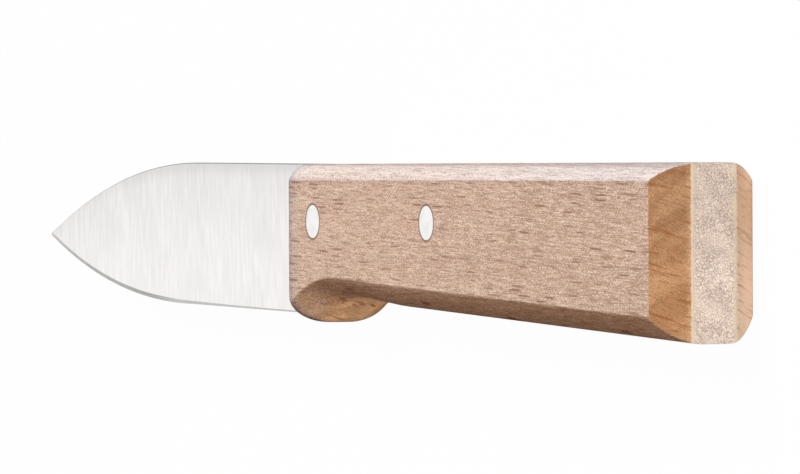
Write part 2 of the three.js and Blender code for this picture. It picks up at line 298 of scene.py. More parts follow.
def bake_modifiers(piece):
    """Turn the piece into the plain mesh that its modifiers give."""
    depsgraph = bpy.context.evaluated_depsgraph_get()
    baked = bpy.data.meshes.new_from_object(piece.evaluated_get(depsgraph))
    drawn = piece.data
    piece.modifiers.clear()
    piece.data = baked
    bpy.data.meshes.remove(drawn)
    baked.name = piece.name


def cut(piece, cutters):
    """Take the cutters' shapes out of the piece, and delete the cutters."""
    for cutter in cutters:
        change = piece.modifiers.new("cut", "BOOLEAN")
        change.operation = "DIFFERENCE"
        change.solver = "EXACT"
        change.object = cutter
    bake_modifiers(piece)
    for cutter in cutters:
        bpy.data.meshes.remove(cutter.data)


def shade(piece, sharp_angle=SHARP_ANGLE):
    """Shade flats flat and curves smooth, with a hard line at every steep edge."""
    shell = bmesh.new()
    shell.from_mesh(piece.data)
    bmesh.ops.remove_doubles(shell, verts=shell.verts, dist=MERGE_DISTANCE)
    for face in shell.faces:
        face.smooth = True
    for edge in shell.edges:
        if edge.calc_face_angle(0) > sharp_angle:
            edge.smooth = False
    shell.to_mesh(piece.data)
    shell.free()
    weighted = piece.modifiers.new("weighted", "WEIGHTED_NORMAL")
    weighted.keep_sharp = True
    bake_modifiers(piece)


def bridge(shell, row, after):
    """Quads between two closed rows of vertices of equal length."""
    for i in range(len(row)):
        shell.faces.new((row[i - 1], row[i], after[i], after[i - 1]))


def mark(mesh, name, domain, values):
    """Store one number for each point, corner or face, for the piece's material to read."""
    mesh.attributes.new(name, "FLOAT", domain).data.foreach_set("value", values)


def finish_piece(piece, material, node_names):
    piece.data.materials.clear()
    piece.data.materials.append(material)
    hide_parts(*node_names)
    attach(piece, "root")


def prism(name, outline, low, high):
    """A cutter with the given outline, from one height to another."""
    shell = bmesh.new()
    rows = [[shell.verts.new(DATUM + Vector((x, y, z))) for x, y in outline] for z in (low, high)]
    bridge(shell, *rows)
    for row in rows:
        shell.faces.new(row)
    return new_piece(name, mesh_from(shell, name))


def arc(centre, radius, start, end, steps):
    """Points on an arc between two angles in degrees, both ends included."""
    turns = [math.radians(blend(start, end, step / steps)) for step in range(steps + 1)]
    return [(centre[0] + radius * math.cos(turn), centre[1] + radius * math.sin(turn)) for turn in turns]


def rivet_holes(rivets, reach):
    """Cutters for the rivets' holes, running well past the side faces."""
    radius = rivets.diameter / 2 + rivets.gap
    cutters = []
    for centre in RIVET_CENTRES:
        place = centre - DATUM
        circle = arc((place.x, place.y), radius, 0, 360, HOLE_SIDES)[:-1]
        cutters.append(prism("rivet_hole", circle, -reach, reach))
    return cutters


# Handle

def grip_slope(handle):
    """Fall of the straight underside along the handle."""
    return (handle.butt_height - handle.grip_height) / (handle.length - handle.scoop_length)


def underside_line(handle):
    """Middle-plane line of the underside, from the guard's nose through the scoop to the straight grip."""
    tangent_height = handle.grip_height - grip_slope(handle) * handle.grip_tangent
    to_waist = interpolate_bezier(
        Vector((handle.guard_nose, -handle.guard_height)),
        Vector((handle.guard_nose + handle.guard_tangent, -handle.guard_height)),
        Vector((handle.waist_place - handle.waist_front_tangent, -handle.waist_height)),
        Vector((handle.waist_place, -handle.waist_height)), SCOOP_STEPS)
    to_grip = interpolate_bezier(
        Vector((handle.waist_place, -handle.waist_height)),
        Vector((handle.waist_place + handle.waist_rear_tangent, -handle.waist_height)),
        Vector((handle.scoop_length - handle.grip_tangent, -tangent_height)),
        Vector((handle.scoop_length, -handle.grip_height)), SCOOP_STEPS)
    return to_waist + to_grip[1:]


def arc_depth(share, sweep):
    """Share of a rounded edge's depth at a share of its width, for an arc of the given turn."""
    return (1 - math.sqrt(max(0, 1 - (share * math.sin(sweep)) ** 2))) / (1 - math.cos(sweep))


def sanded(inset, radius):
    """How far a sanded edge pulls an outline in, this far from the side face."""
    share = clamp(1 - inset / radius)
    return radius * (1 - math.sqrt(1 - share * share))


def chamfer_depth(handle, inset):
    """How far a butt chamfer pulls the butt in, with the edge to the end face slightly rounded."""
    soft = handle.butt_radius
    past = handle.chamfer_width - inset
    eased = (past + soft) ** 2 / (4 * soft) if abs(past) < soft else max(past, 0)
    return eased * handle.chamfer_length / handle.chamfer_width


def rounding(handle, inset, x, width, drop, sweep):
    """How far a rounded edge and its sanded crease pull the outline in, this far from the side face."""
    soft = smoothstep(x, handle.length - handle.soft_length, handle.length - handle.chamfer_length)
    crease = sanded(inset, blend(handle.crease_radius, handle.soft_crease, soft))
    return drop * arc_depth(clamp(1 - inset / width), sweep) + crease


def back_rounding(handle, inset, x):
    along = clamp(x / handle.length)
    width = blend(handle.back_width, handle.butt_width, along)
    sweep = blend(handle.grip_sweep, handle.butt_sweep, along)
    return rounding(handle, inset, x, width, handle.back_drop, sweep)


def underside_rounding(handle, inset, x):
    past_guard = smoothstep(x, 0, handle.guard_blend)
    along = clamp((x - handle.guard_blend) / (handle.length - handle.guard_blend))
    sweep = blend(handle.guard_sweep, blend(handle.grip_sweep, handle.butt_sweep, along), past_guard)
    to_waist = smoothstep(x, handle.guard_nose + handle.guard_tangent, handle.waist_place)
    to_grip = smoothstep(x, handle.waist_place, handle.scoop_length)
    width = blend(blend(handle.guard_width, handle.grip_width, to_waist),
                  blend(handle.grip_width, handle.butt_width, along), to_grip)
    drop = blend(blend(handle.guard_drop, handle.waist_drop, to_waist),
                 blend(handle.grip_drop, handle.butt_drop, along), to_grip)
    return rounding(handle, inset, x, width, drop, sweep)


def handle_ring(handle, z, line):
    """Outline of the handle at one level: rounded edges, chamfers and sanding pull it in."""
    inset = handle.thickness / 2 - abs(z)
    front_radius, butt_radius = handle.front_radius, handle.butt_radius
    front = sanded(inset, front_radius)
    butt = handle.length - chamfer_depth(handle, inset) - sanded(inset, handle.crease_radius)
    grip_start, grip_end = front + front_radius, butt - butt_radius
    points = list(line)
    for step in range(1, GRIP_STEPS + 1):
        x = blend(handle.scoop_length, grip_end, step / GRIP_STEPS)
        points.append((x, -handle.grip_height - grip_slope(handle) * (x - handle.scoop_length)))
    lower = [(x, y + underside_rounding(handle, inset, x)) for x, y in points]
    upper = [(x, -back_rounding(handle, inset, x)) for x, _ in points]
    nose = -handle.guard_height + underside_rounding(handle, inset, grip_start)
    brow = -back_rounding(handle, inset, front)
    low_front = arc((grip_start, nose + front_radius), front_radius, 180, 270, CORNER_STEPS)
    top_front = arc((grip_start, brow - front_radius), front_radius, 180, 90, CORNER_STEPS)
    low_butt = arc((grip_end, lower[-1][1] + butt_radius), butt_radius, 270, 360, CORNER_STEPS)
    top_butt = arc((grip_end, upper[-1][1] - butt_radius), butt_radius, 90, 0, CORNER_STEPS)
    lower = [*low_front, *lower, *low_butt[1:]]
    upper = [*top_front, *upper, *top_butt[1:]]
    return [DATUM + Vector((x, y, z)) for x, y in [*lower, *reversed(upper)]]


def handle_levels(handle):
    """Levels across the thickness, closer together towards the side faces and at the chamfers' edges."""
    reach = max(handle.guard_width, handle.butt_width)
    insets = {reach * (1 - math.sin(math.pi / 2 * step / ROUND_STEPS)) for step in range(ROUND_STEPS + 1)}
    for step in range(-CHAMFER_STEPS, CHAMFER_STEPS + 1):
        insets.add(handle.chamfer_width + handle.butt_radius * step / CHAMFER_STEPS)
    near = [handle.thickness / 2 - inset for inset in sorted(insets, reverse=True)]
    return [-z for z in reversed(near)] + near


def handle_block(handle):
    line = underside_line(handle)
    shell = bmesh.new()
    rows = [[shell.verts.new(point) for point in handle_ring(handle, z, line)]
            for z in handle_levels(handle)]
    for row, after in zip(rows, rows[1:]):
        bridge(shell, row, after)
    for face in (rows[0], rows[-1]):
        for i in range(len(face) // 2 - 1):
            shell.faces.new((face[i], face[i + 1], face[-i - 2], face[-i - 1]))
    return new_piece("beech_handle", mesh_from(shell, "beech_handle"))


def tang_slot(blade, reach):
    """Cutter for the saw slot: the tang's outline grown by its gap, open at the front and the back."""
    gap = blade.tang_gap
    end = blade.tang_length + gap
    bottom = -blade.tang_height - gap
    radius = blade.tang_radius + gap
    outline = [(-reach, reach), (-reach, bottom)]
    outline += arc((end - radius, bottom + radius), radius, 270, 360, CORNER_STEPS * 2)
    outline.append((end, reach))
    half = blade.stock / 2 + gap
    return prism("tang_slot", outline, -half, half)


def mark_grain(mesh, knife):
    """Mark end grain, underside and back by the way each corner faces, and the faces inside a cut."""
    normals = [corner.vector.copy() for corner in mesh.corner_normals]
    lengthwise = [abs(normal.x) - SIDEWAYS_WEIGHT * abs(normal.z) for normal in normals]
    mark(mesh, "end_grain", "CORNER", [smoothstep(turn, *END_GRAIN_TURN) for turn in lengthwise])
    mark(mesh, "underside", "CORNER", [smoothstep(-normal.y, *UNDERSIDE_TURN) for normal in normals])
    mark(mesh, "back", "CORNER", [smoothstep(normal.y, *BACK_TURN) for normal in normals])

    hair = 0.01 * MM
    hole = knife.rivets.diameter / 2 + knife.rivets.gap + hair
    slot_half = knife.blade.stock / 2 + knife.blade.tang_gap + hair
    slot_end = knife.blade.tang_length + knife.blade.tang_gap + hair
    slot_bottom = -knife.blade.tang_height - knife.blade.tang_gap - hair

    def is_cut(face):
        x, y, z = face.center - DATUM
        corners = [mesh.vertices[i].co for i in face.vertices]
        in_slot = abs(z) < slot_half and x < slot_end and y > slot_bottom
        return in_slot or any(
            all((corner - centre).xy.length < hole for corner in corners) for centre in RIVET_CENTRES)

    mark(mesh, "inside_cut", "FACE", [float(is_cut(face)) for face in mesh.polygons])


# Blade

def bezier_point(start, corner, end, share):
    """Point on a curve between two tangents that meet in the corner."""
    return start.lerp(corner, share).lerp(corner.lerp(end, share), share)


def blade_lines(blade):
    """Pairs of points on the back and on the edge, from the heel to the tip."""
    pairs = []
    heel = -blade.heel_gap
    tip = Vector((-blade.length, -blade.tip_drop))
    back_start = Vector((blade.back_curve - blade.length, blade.back_crown))
    edge_start = Vector((blade.edge_curve - blade.length, -blade.belly_height))
    for step in range(BLADE_FLAT_STEPS):
        share = step / BLADE_FLAT_STEPS
        pairs.append((Vector((heel, 0)).lerp(back_start, share),
                      Vector((heel, -blade.heel_height)).lerp(edge_start, share)))
    back_corner = Vector((blade.back_shoulder - blade.length, blade.back_crown))
    edge_corner = Vector((blade.edge_shoulder - blade.length, -blade.belly_height))
    for step in range(BLADE_CURVE_STEPS + 1):
        share = step / BLADE_CURVE_STEPS
        pairs.append((bezier_point(back_start, back_corner, tip, share),
                      bezier_point(edge_start, edge_corner, tip, share)))
    return pairs


def back_corner(half, radius, lean):
    """Broken corner of the back as (depth below the back, distance from the middle plane)."""
    points = arc((0, 0), radius, 90, 0, BACK_EDGE_STEPS)
    side = half - lean * radius
    return [(radius - up, side - radius + out) for out, up in points]


def both_sides(back, down, half_ring):
    """Points of a half section, given as (depth, distance), on the near side and then on the far one."""
    near = [(*(back + down * depth), out) for depth, out in half_ring]
    far = [(x, y, -z) for x, y, z in reversed(near)]
    return near, far


def bevel_width(blade, x):
    """Width of the ground strip, which is widest at the belly and narrow at heel and tip."""
    belly = blade.bevel_place - blade.length
    if x > belly:
        return blend(blade.bevel_heel, blade.bevel_width, clamp(x / belly) ** BEVEL_EASE)
    return blend(blade.bevel_width, blade.bevel_tip, smoothstep(x, belly, -blade.length))


def blade_section(blade, back, edge):
    """One section of the blade from its back to its edge, as near side, edge and far side."""
    height = (edge - back).length
    down = (edge - back) / height
    half_back = blend(blade.stock, blade.tip_thickness, clamp(-back.x / blade.length)) / 2
    strip = min(bevel_width(blade, edge.x), height / 2)
    half_bevel = min(strip * math.tan(blade.bevel_angle), half_back)
    bevel = height - strip
    lean = (half_back - half_bevel) / bevel
    radius = min(blade.back_radius, half_back / 2, bevel / 2)
    tang = bevel * blade.tang_height / (blade.heel_height - blade.bevel_heel)
    depths = [tang * share for share in BACK_BAND] + [tang, bevel]
    half_ring = back_corner(half_back, radius, lean)
    half_ring += [(depth, half_back - lean * depth) for depth in depths]
    near, far = both_sides(back, down, half_ring)
    return [*near, (*edge, 0), *far]


def tang_section(blade, x, height, half_low):
    """One section of the tang, as near side and far side."""
    half_ring = back_corner(blade.stock / 2, blade.back_radius, 0)
    lean = (blade.stock / 2 - half_low) / height
    half_ring += [(height * share, blade.stock / 2 - lean * height * share) for share in (*BACK_BAND, 1)]
    near, far = both_sides(Vector((x, 0)), Vector((0, -1)), half_ring)
    return near + far


def blade_block(blade):
    """The blade as sections from tip to heel, run on as the tang from the part above its lower edge."""
    shell = bmesh.new()

    def row_of(points):
        return [shell.verts.new(DATUM + Vector(point)) for point in points]

    pairs = blade_lines(blade)
    tip = shell.verts.new(DATUM + Vector((*pairs[-1][0], 0)))
    rows = [row_of(blade_section(blade, back, edge)) for back, edge in pairs[:-1]]
    for row, after in zip(rows, rows[1:]):
        bridge(shell, row, after)
    for i in range(len(rows[-1])):
        shell.faces.new((rows[-1][i - 1], rows[-1][i], tip))

    heel = rows[0]
    corner = BACK_EDGE_STEPS + 1 + len(BACK_BAND)
    shell.faces.new(heel[corner:len(heel) - corner])
    upper = heel[:corner + 1] + heel[-corner - 1:]
    lower_half = abs((heel[corner].co - DATUM).z)
    sections = [(0, lower_half, blade.tang_height), (blade.plunge, blade.stock / 2, blade.tang_height)]
    turn_start = blade.tang_length - blade.tang_radius
    for out, up in arc((turn_start, 0), blade.tang_radius, 90, 0, CORNER_STEPS * 2):
        sections.append((out, blade.stock / 2, blade.tang_height - blade.tang_radius + up))
    for x, half_low, height in sections:
        after = row_of(tang_section(blade, x, height, half_low))
        bridge(shell, upper, after)
        upper = after
    shell.faces.new(upper)

    return new_piece("steel_blade", mesh_from(shell, "steel_blade"))


def mark_finish(mesh, blade):
    """Mark the ground strip along the edge, the blanked back and tang, and the band below the back that is
    painted greyer as a reflection.
    """
    line = [back for back, edge in blade_lines(blade)]

    def depth(vertex):
        x, y, z = vertex.co - DATUM
        after = next((i for i, point in enumerate(line) if point.x < x), len(line) - 1)
        before = max(after - 1, 0)
        run = line[before].x - line[after].x
        back = line[before].lerp(line[after], clamp((line[before].x - x) / run) if run else 0)
        return back.y - y

    def is_steep(face):
        return math.hypot(face.normal.x, face.normal.y) > STEEP

    def on_tang(face):
        return face.center.x > DATUM.x

    faces = mesh.polygons
    depths = [depth(vertex) for vertex in mesh.vertices]
    mark(mesh, "back_reflection_band", "POINT", [
        1 - blend(smoothstep(deep, 0, BACK_SHADE), smoothstep(deep, 0, SIDE_SHADE), SIDE_SHADE_SHARE)
        for deep in depths])
    mark(mesh, "ground_edge", "FACE", [
        float(is_steep(face) and face.normal.y < 0 and not on_tang(face)) for face in faces])
    mark(mesh, "blanked_back", "FACE", [
        float(on_tang(face) or (is_steep(face) and face.normal.y >= 0)) for face in faces])


# Node trees

class Graph:
    """Adds nodes to one tree and wires them, so that the tree reads as a list of steps."""

    def __init__(self, tree):
        self.tree = tree

    def feed(self, socket, value):
        if isinstance(value, bpy.types.NodeSocket):
            self.tree.links.new(value, socket)
        else:
            socket.default_value = value

    def node(self, kind, inputs=None, **settings):
        made = self.tree.nodes.new(kind)
        for name, value in settings.items():
            setattr(made, name, value)
        for socket, value in (inputs or {}).items():
            self.feed(made.inputs[socket], value)
        return made

    def math(self, operation, a, b=0.0):
        return self.node("ShaderNodeMath", {0: a, 1: b}, operation=operation).outputs[0]

    def plus(self, a, b):
        return self.math("ADD", a, b)

    def minus(self, a, b):
        return self.math("SUBTRACT", a, b)

    def times(self, a, b):
        return self.math("MULTIPLY", a, b)

    def vector(self, operation, a, b):
        return self.node("ShaderNodeVectorMath", {0: a, 1: b}, operation=operation).outputs[0]

    def stretch(self, vector, scale):
        """The vector with each axis scaled by itself: a low number draws a pattern out along that axis."""
        return self.vector("MULTIPLY", vector, scale)

    def noise(self, vector, detail=2.0, roughness=0.5, output="Fac"):
        settings = {"Vector": vector, "Scale": 1.0, "Detail": detail, "Roughness": roughness}
        return self.node("ShaderNodeTexNoise", settings).outputs[output]

    def ramp(self, value, low, high, to_low=0.0, to_high=1.0):
        """The value between two limits, eased onto a new range."""
        limits = {"Value": value, "From Min": low, "From Max": high, "To Min": to_low, "To Max": to_high}
        return self.node("ShaderNodeMapRange", limits, interpolation_type="SMOOTHSTEP").outputs["Result"]

    def between(self, share, start, end):
        """From one number to another as the share goes from 0 to 1."""
        return self.ramp(share, 0.0, 1.0, start, end)

    def mix(self, share, a, b):
        """Two colours mixed."""
        node = self.node("ShaderNodeMix", data_type="RGBA")
        self.feed(node.inputs[0], share)
        self.feed(node.inputs[6], opaque(a))
        self.feed(node.inputs[7], opaque(b))
        return node.outputs[2]

    def tint(self, share, a, b):
        """A colour multiplied by another, as far as the share says."""
        return self.mix(share, a, self.vector("MULTIPLY", a, b))

    def brighten(self, tint, factor):
        """A colour made brighter or darker by a factor."""
        return self.node("ShaderNodeVectorMath", {0: tint, "Scale": factor}, operation="SCALE").outputs[0]

    def axes(self, vector):
        return self.node("ShaderNodeSeparateXYZ", {"Vector": vector}).outputs

    def attribute(self, name):
        return self.node("ShaderNodeAttribute", attribute_name=name).outputs["Fac"]

    def millimetres(self, turn=(0.0, 0.0, 0.0)):
        """Object coordinates in millimetres from the datum, turned about it."""
        place = self.node("ShaderNodeTexCoord").outputs["Object"]
        mapping = {"Vector": self.vector("SUBTRACT", place, DATUM), "Rotation": turn, "Scale": (1 / MM,) * 3}
        return self.node("ShaderNodeMapping", mapping).outputs["Vector"]

    def bump(self, height, strength, distance):
        heights = {"Height": height, "Strength": strength, "Distance": distance}
        return self.node("ShaderNodeBump", heights).outputs["Normal"]

    def group(self, name, make, inputs):
        """The outputs of a shader group, which is made the first time that a material asks for it."""
        tree = bpy.data.node_groups.get(name) or make(name)
        return self.node("ShaderNodeGroup", inputs, node_tree=tree).outputs

    def dashes(self, vector, cell, size, share):
        """Mask of short marks: the cell that each has to itself, its size in that cell, and how many show."""
        inputs = {"Vector": vector, "Cell": cell, "Size": size, "Share": share}
        return self.group("dashes", make_dashes, inputs)["Mask"]

    def brushing(self, vector, lines, drift):
        """Fine lines and a slow drift in tone, as two values."""
        made = self.group("brushing", make_brushing, {"Vector": vector, "Lines": lines, "Drift": drift})
        return made["Lines"], made["Drift"]


def opaque(tint):
    """A colour setting with its alpha, and anything else as it is."""
    return tint if isinstance(tint, bpy.types.NodeSocket) else (*tint, 1.0)


def new_material(name):
    """A material with an empty tree, and its graph."""
    material = bpy.data.materials.new(name)
    material.use_nodes = True
    material.node_tree.nodes.clear()
    return material, Graph(material.node_tree)


def principled(graph):
    """A Principled shader's inputs, with the shader wired to the output."""
    shader = graph.node("ShaderNodeBsdfPrincipled")
    graph.node("ShaderNodeOutputMaterial", {"Surface": shader.outputs["BSDF"]})
    return shader.inputs


def new_group(name, inputs, outputs):
    """An empty shader group with the given inputs and float outputs, its graph and both its ends."""
    tree = bpy.data.node_groups.new(name, "ShaderNodeTree")
    for socket, kind in inputs.items():
        tree.interface.new_socket(socket, in_out="INPUT", socket_type=kind)
    for socket in outputs:
        tree.interface.new_socket(socket, in_out="OUTPUT", socket_type="NodeSocketFloat")
    graph = Graph(tree)
    return tree, graph, graph.node("NodeGroupInput").outputs, graph.node("NodeGroupOutput").inputs


DASH_SCATTER = 0.8  # how far a mark lies off the middle of its cell
DASH_CORE = 0.62  # part of a mark that is at full strength
DASH_FAINTEST = 0.6  # strength of the faintest mark


def make_dashes(name):
    """Short marks scattered through a solid, such as the ray flecks in beech or nicks in metal."""
    tree, graph, given, put = new_group(
        name, {"Vector": "NodeSocketVector", "Cell": "NodeSocketVector", "Size": "NodeSocketFloat",
               "Share": "NodeSocketFloat"}, ["Mask"])
    spread = graph.vector("DIVIDE", given["Vector"], given["Cell"])
    cells = graph.node("ShaderNodeTexVoronoi", {
        "Vector": spread, "Scale": 1.0, "Randomness": DASH_SCATTER}).outputs
    inside = graph.ramp(cells["Distance"], given["Size"], graph.times(given["Size"], DASH_CORE))
    chance = graph.node("ShaderNodeSeparateColor", {"Color": cells["Color"]}).outputs
    chosen = graph.math("LESS_THAN", chance["Red"], given["Share"])
    strength = graph.between(chance["Green"], DASH_FAINTEST, 1.0)
    graph.feed(put["Mask"], graph.times(graph.times(inside, chosen), strength))
    return tree


def make_brushing(name):
    """Fine parallel lines with a slow drift in tone, as brushing or facing leaves them."""
    tree, graph, given, put = new_group(
        name, {"Vector": "NodeSocketVector", "Lines": "NodeSocketVector", "Drift": "NodeSocketVector"},
        ["Lines", "Drift"])
    lines = graph.stretch(given["Vector"], given["Lines"])
    drift = graph.stretch(given["Vector"], given["Drift"])
    graph.feed(put["Lines"], graph.noise(lines, detail=3.0, roughness=0.6))
    graph.feed(put["Drift"], graph.noise(drift))
    return tree


# Rivets

RIVET_INPUTS = {
    "Diameter": "NodeSocketFloat", "Length": "NodeSocketFloat", "Spread": "NodeSocketFloat",
    "Spread Depth": "NodeSocketFloat", "Chamfer": "NodeSocketFloat", "Count": "NodeSocketInt",
    "First": "NodeSocketVector", "Pitch": "NodeSocketVector", "Material": "NodeSocketMaterial",
}


def rivet_bar(graph, given):
    """One rivet: a bar whose ends swell, with broken edges."""
    radius = graph.times(given["Diameter"], 0.5)
    swollen = graph.plus(radius, given["Spread"])
    narrowed = graph.minus(swollen, given["Chamfer"])
    worked = graph.plus(given["Spread Depth"], given["Chamfer"])
    shank = graph.minus(given["Length"], graph.times(worked, 2.0))
    bar = graph.node("GeometryNodeMeshCylinder", {
        "Vertices": HOLE_SIDES, "Radius": radius, "Depth": shank}).outputs
    ends = graph.node("FunctionNodeBooleanMath", {0: bar["Top"], 1: bar["Bottom"]}, operation="OR")
    mesh, end_faces = bar["Mesh"], ends.outputs[0]
    for rise, before, after in [(given["Spread Depth"], radius, swollen),
                                (given["Chamfer"], swollen, narrowed)]:
        raised = graph.node("GeometryNodeExtrudeMesh", {
            "Mesh": mesh, "Selection": end_faces, "Offset Scale": rise}).outputs
        end_faces = raised["Top"]
        mesh = graph.node("GeometryNodeScaleElements", {
            "Geometry": raised["Mesh"], "Selection": end_faces,
            "Scale": graph.math("DIVIDE", after, before)}).outputs["Geometry"]
    return mesh


def rivet_row_tree():
    """Geometry nodes for a row of flush rivets, set on the points of a line."""
    tree = bpy.data.node_groups.new("rivet_row", "GeometryNodeTree")
    for name, kind in RIVET_INPUTS.items():
        tree.interface.new_socket(name, in_out="INPUT", socket_type=kind)
    tree.interface.new_socket("Geometry", in_out="OUTPUT", socket_type="NodeSocketGeometry")
    graph = Graph(tree)
    given = graph.node("NodeGroupInput").outputs
    line = graph.node("GeometryNodeMeshLine", {
        "Count": given["Count"], "Start Location": given["First"], "Offset": given["Pitch"]})
    row = graph.node("GeometryNodeInstanceOnPoints", {
        "Points": line.outputs["Mesh"], "Instance": rivet_bar(graph, given)})
    real = graph.node("GeometryNodeRealizeInstances", {"Geometry": row.outputs["Instances"]})
    dressed = graph.node("GeometryNodeSetMaterial", {
        "Geometry": real.outputs["Geometry"], "Material": given["Material"]})
    graph.node("NodeGroupOutput", {"Geometry": dressed.outputs["Geometry"]})
    return tree


def rivet_distance(graph, place):
    """How far a place is from the nearest rivet's middle line, in millimetres."""
    flat = graph.stretch(place, (1.0, 1.0, 0.0))
    away = []
    for centre in RIVET_CENTRES:
        middle = (centre - DATUM) / MM
        measure = {0: flat, 1: (middle.x, middle.y, 0.0)}
        away.append(graph.node("ShaderNodeVectorMath", measure, operation="DISTANCE").outputs["Value"])
    return graph.math("MINIMUM", *away)


# Materials
# Places are in millimetres from the datum. A pattern's scale is given for each axis, per millimetre. A range
# is (from, to), or (from, to, value at the first, value at the second), and may run downwards.

# Beech: the figure in the solid wood
GRAIN_TURN = (math.radians(20), 0, math.radians(1.5))  # growth rings against the handle's axes
WANDER_SCALE = (0.12, 0.3, 0.3)  # slow bends of the grain
WANDER_REACH = (0.0, 0.5, 0.5)
BAND_SCALE, BANDS = (0.02, 0.22, 0.16), (0.35, 0.65)
FIBRE_SCALE = (0.1, 3.0, 2.2)
STREAK_SCALE, STREAK_SHARE = (0.35, 5.0, 3.5), 0.35  # the rest of the grain is pores
PORE_SCALE = (3.0, 9.5, 6.5)
FLECK_CELL, FLECK_SHARE = (7.5, 0.52, 3.4), 0.66
FINE_CELL, FINE_SHARE = (3.2, 0.45, 1.8), 0.6
FLECK_SIZE = 0.28  # of both kinds, in their cells
SPARKLE_SCALE = (6.0, 6.0, 6.0)  # torn fibres of bare end grain
WOBBLE_SCALE, WOBBLE = (0.0, 2.5, 2.5), (0.3, 0.7, -0.05, 0.05)  # unsteady edge of the bare butt
LOW = (-2.0, -18.0)  # from the back to the underside
GUARD_FRONT, GUARD_REAR = (1.0, 3.0), (14.0, 10.0)  # where the guard's tints come and go

# Beech along the grain
SIDE_TONE = (5.0, 100.0, 1.07, 0.9)
# Painted sheen of the rounded back: where it goes over to its butt colour, and how much of it is mixed in
BACK_SHEEN_ALONG = (30.0, 100.0)
BACK_SHEEN_STRENGTH = 0.6
BROWN_PORES, CREAM_PORES = (0.52, 0.37), (0.48, 0.63)
FINE_STRENGTH = 0.4
FLECKS_ON_BACK = 0.3  # strength of the flecks there
FIBRE_TONE = (0.35, 0.65, -1.0, 1.0)
FIBRES_ON_SIDE, FIBRES_ON_BACK = 0.05, 0.1
GUARD_BELOW = (-15.2, -16.5)
# Where the painted shade of the scoop comes and goes
SCOOP_FRONT, SCOOP_REAR = (8.0, 11.0), (24.0, 17.0)
# Where the painted shade below the crease lies
CREASE_SHADE_LINE = (-2.7, -2.2)
# Where the painted shade of the front end lies: the band and the edge line
FRONT_SHADE, FRONT_EDGE_SHADE = (4.5, 1.5), (1.7, 0.0)
# Painted shade on the guard's left side, and painted light that brightens its right side
GUARD_LEFT, GUARD_RIGHT = (2.2, 5.5), (0.5, -3.0)
GUARD_RIGHT_LIGHT = 1.25

# Beech across the grain
SLANT_TURN = (math.radians(-42), 0, 0)
PATCH_SCALE, PATCHES = (0.1, 0.4, 0.08), (0.36, 0.62)
LIT_SIDE = (-1.5, -2.8)  # where the right side's painted light starts: its end grain is painted paler and brighter
LIT_SIDE_TONE = (-2.8, -6.3, 0.92, 1.26)
NEAR_EDGE_HIGHLIGHT = (3.4, 2.8, 0.0, 0.22)  # painted highlight along the near chamfer, next to the bare butt
END_TONE = (0.9, 1.12)  # at the back and at the underside
GUARD_TONE = (1.16, 0.86)  # outside and inside the patches
BUTT_TO_GUARD = (60.0, 30.0)
CALM = (-4.5, -2.0, 0.4, 1.0)  # weaker figure on the right side
CURL_SCALE, CURL = (1.0, 2.4, 0.8), (0.38, 0.62, -0.1, 0.1)
CUT_PORES = (0.36, 0.64, -0.28, 0.28)
RAY_SCALE, RAYS, RAY_STRENGTH = (0.12, 2.6, 0.12), (0.6, 0.66), 0.7
END_FLECKS = 0.8
# Painted shade: a dark line along the right side's edge at the butt
RIGHT_RIM_SHADE = (-6.3, -6.48, 0.0, 0.75)

# Beech left bare on the butt
MOTTLE_SCALE, MOTTLE_SHARE = (0.5, 0.5, 0.5), 0.25
OPEN_PORES = (0.48, 0.66, 1.0, 0.0)
TORN_FIBRES = (0.5, 0.66, 0.0, 0.8)
MOTTLE_TONE = (0.35, 0.65, 0.93, 1.06)
BARE_TONE = (0.95, 1.07)  # at the back and at the underside
EDGE_BAND, EDGE_MOTTLE = 0.7, (0.3, 0.6, 0.3, 1.0)
BARE_SOFTNESS = 0.1

# Beech: surface
DARK_RING = (0.38, 0.1)  # dark ring round a rivet, from the hole's edge
DARK_RING_STRENGTH = 0.95
OIL_COAT, OIL_ROUGHNESS = 0.45, 0.15
WOOD_ROUGHNESS = (0.3, 0.7, 0.5, 0.36)
BARE_ROUGHNESS = 0.3  # added on the butt
FLECK_DEPTH, BARE_DEPTH = 0.5, 1.5  # against the pores' depth
WOOD_BUMP, WOOD_RELIEF = 0.3, 0.05 * MM


def beech_figure(graph, handle):
    """The figure in the solid wood, which every face of the handle cuts in its own way."""
    straight = graph.millimetres()
    axes = graph.axes(straight)
    place = graph.millimetres(GRAIN_TURN)
    wander = graph.noise(graph.stretch(place, WANDER_SCALE), output="Color")
    shift = graph.vector("ADD", wander, (-0.5, -0.5, -0.5))
    bent = graph.vector("ADD", place, graph.stretch(shift, WANDER_REACH))
    wobble = graph.ramp(graph.noise(graph.stretch(place, WOBBLE_SCALE), detail=3.0), *WOBBLE)
    return SimpleNamespace(
        straight=straight, axes=axes, place=place, bent=bent,
        bands=graph.ramp(graph.noise(graph.stretch(bent, BAND_SCALE)), *BANDS),
        fibres=graph.noise(graph.stretch(bent, FIBRE_SCALE)),
        streaks=graph.noise(graph.stretch(bent, STREAK_SCALE), detail=3.0, roughness=0.6),
        pores=graph.noise(graph.stretch(bent, PORE_SCALE), roughness=0.7),
        flecks=graph.dashes(bent, FLECK_CELL, FLECK_SIZE, FLECK_SHARE),
        fine=graph.dashes(bent, FINE_CELL, FLECK_SIZE, FINE_SHARE),
        sparkle=graph.noise(graph.stretch(place, SPARKLE_SCALE), roughness=0.8),
        low=graph.ramp(axes["Y"], *LOW),
        guard=graph.times(graph.ramp(axes["X"], *GUARD_FRONT), graph.ramp(axes["X"], *GUARD_REAR)),
        from_middle=graph.plus(graph.math("ABSOLUTE", axes["Z"]), wobble),
        flat_half=(handle.thickness / 2 - handle.chamfer_width) / MM,
        back=graph.attribute("back"), underside=graph.attribute("underside"))


